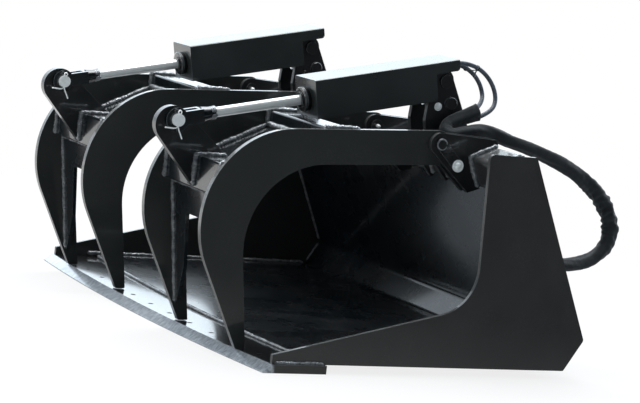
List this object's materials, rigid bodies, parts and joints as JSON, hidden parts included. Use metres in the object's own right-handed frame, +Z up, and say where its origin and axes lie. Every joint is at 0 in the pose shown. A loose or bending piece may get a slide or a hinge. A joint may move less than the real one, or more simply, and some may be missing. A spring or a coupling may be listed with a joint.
{
  "type": "grapple bucket",
  "caption": "Compact loader bucket with two independent hydraulic grapples, each a pair of curved tines on hinge ears, opened by a guarded cylinder.",
  "frame": {"origin": "on the underside of the cutting edge, in the middle of its width and level with the two front corners", "axes": "+X across the bucket towards the operator's left, -Y out of the mouth, +Z up; the bucket lies flat on the ground plane z = 0"},
  "size_m": [1.829, 1.5743, 0.9299],
  "materials": {
    "black_paint": "satin",
    "tine_paint": "satin",
    "tube_paint": "satin",
    "bowl_paint": "satin",
    "guard_paint": "satin",
    "fork_paint": "gloss",
    "worn_paint": "matte",
    "edge_steel": "satin",
    "pin_steel": "satin",
    "bush_steel": "machined",
    "gland_steel": "gloss",
    "line_steel": "gloss",
    "rod_chrome": "polished",
    "piston_iron": "machined",
    "zinc_plate": "zinc plated",
    "hose_rubber": "matte",
    "sleeve_fabric": "woven"
  },
  "bodies": {
    "bucket": {"cutting_edge": "edge_steel", "bowl_sheet": "bowl_paint", "side_plate_left": "black_paint", "side_plate_right": "black_paint", "top_beam": "black_paint", "wear_bars": "worn_paint", "attach_plate": "black_paint", "attach_ribs": "black_paint", "coupler_holder": "black_paint", "couplers": "zinc_plate", "hose_sleeve": "sleeve_fabric", "hose_outer": "hose_rubber", "hose_inner": "hose_rubber", "hinge_ears_left": "black_paint", "hinge_pins_left": "pin_steel", "keeper_bolts_left": "zinc_plate", "tower_left": "black_paint", "base_pin_left": "pin_steel", "hinge_ears_right": "black_paint", "hinge_pins_right": "pin_steel", "keeper_bolts_right": "zinc_plate", "tower_right": "black_paint", "base_pin_right": "pin_steel"},
    "grapple_arm_left": {"tine_right_left": "tine_paint", "tine_left_left": "tine_paint", "hinge_hubs_left": "black_paint", "hinge_bushes_left": "bush_steel", "front_tube_left": "tube_paint", "rear_tube_left": "tube_paint", "cover_plate_left": "tube_paint", "claw_plate_left": "tube_paint", "rod_lug_left": "black_paint"},
    "cylinder_body_left": {"barrel_left": "black_paint", "gland_left": "gland_steel", "guard_left": "guard_paint", "port_lines_left": "line_steel"},
    "cylinder_ram_left": {"rod_left": "rod_chrome", "piston_left": "piston_iron", "rod_fork_left": "fork_paint", "rod_pin_left": "zinc_plate", "split_pin_left": "zinc_plate"},
    "grapple_arm_right": {"tine_right_right": "tine_paint", "tine_left_right": "tine_paint", "hinge_hubs_right": "black_paint", "hinge_bushes_right": "bush_steel", "front_tube_right": "tube_paint", "rear_tube_right": "tube_paint", "cover_plate_right": "tube_paint", "claw_plate_right": "tube_paint", "rod_lug_right": "black_paint"},
    "cylinder_body_right": {"barrel_right": "black_paint", "gland_right": "gland_steel", "guard_right": "guard_paint", "port_lines_right": "line_steel"},
    "cylinder_ram_right": {"rod_right": "rod_chrome", "piston_right": "piston_iron", "rod_fork_right": "fork_paint", "rod_pin_right": "zinc_plate", "split_pin_right": "zinc_plate"}
  },
  "joints": [
    {"name": "grapple_hinge_left", "type": "hinge", "parent": "bucket", "child": "grapple_arm_left", "pos_m": [0.478, 0.607, 0.68], "axis": [-1, 0, 0], "range_deg": [0, 50]},
    {"name": "cylinder_hinge_left", "type": "hinge", "parent": "bucket", "child": "cylinder_body_left", "pos_m": [0.478, 0.702, 0.857], "axis": [-1, 0, 0], "range_deg": [0, 45.8], "deforming": ["hose_outer", "hose_inner"]},
    {"name": "ram_slide_left", "type": "slide", "parent": "cylinder_body_left", "child": "cylinder_ram_left", "axis": [0, 0.9796, 0.2008], "range_m": [0, 0.16]},
    {"name": "grapple_hinge_right", "type": "hinge", "parent": "bucket", "child": "grapple_arm_right", "pos_m": [-0.478, 0.607, 0.68], "axis": [-1, 0, 0], "range_deg": [0, 50]},
    {"name": "cylinder_hinge_right", "type": "hinge", "parent": "bucket", "child": "cylinder_body_right", "pos_m": [-0.478, 0.702, 0.857], "axis": [-1, 0, 0], "range_deg": [0, 45.8]},
    {"name": "ram_slide_right", "type": "slide", "parent": "cylinder_body_right", "child": "cylinder_ram_right", "axis": [0, 0.9796, 0.2008], "range_m": [0, 0.16]}
  ],
  "couplings": [
    {"joint": "cylinder_hinge_left", "follows": "grapple_hinge_left", "ratio": 0.916},
    {"joint": "ram_slide_left", "follows": "grapple_hinge_left", "m_per_rad": 0.183},
    {"joint": "cylinder_hinge_right", "follows": "grapple_hinge_right", "ratio": 0.916},
    {"joint": "ram_slide_right", "follows": "grapple_hinge_right", "m_per_rad": 0.183}
  ]
}
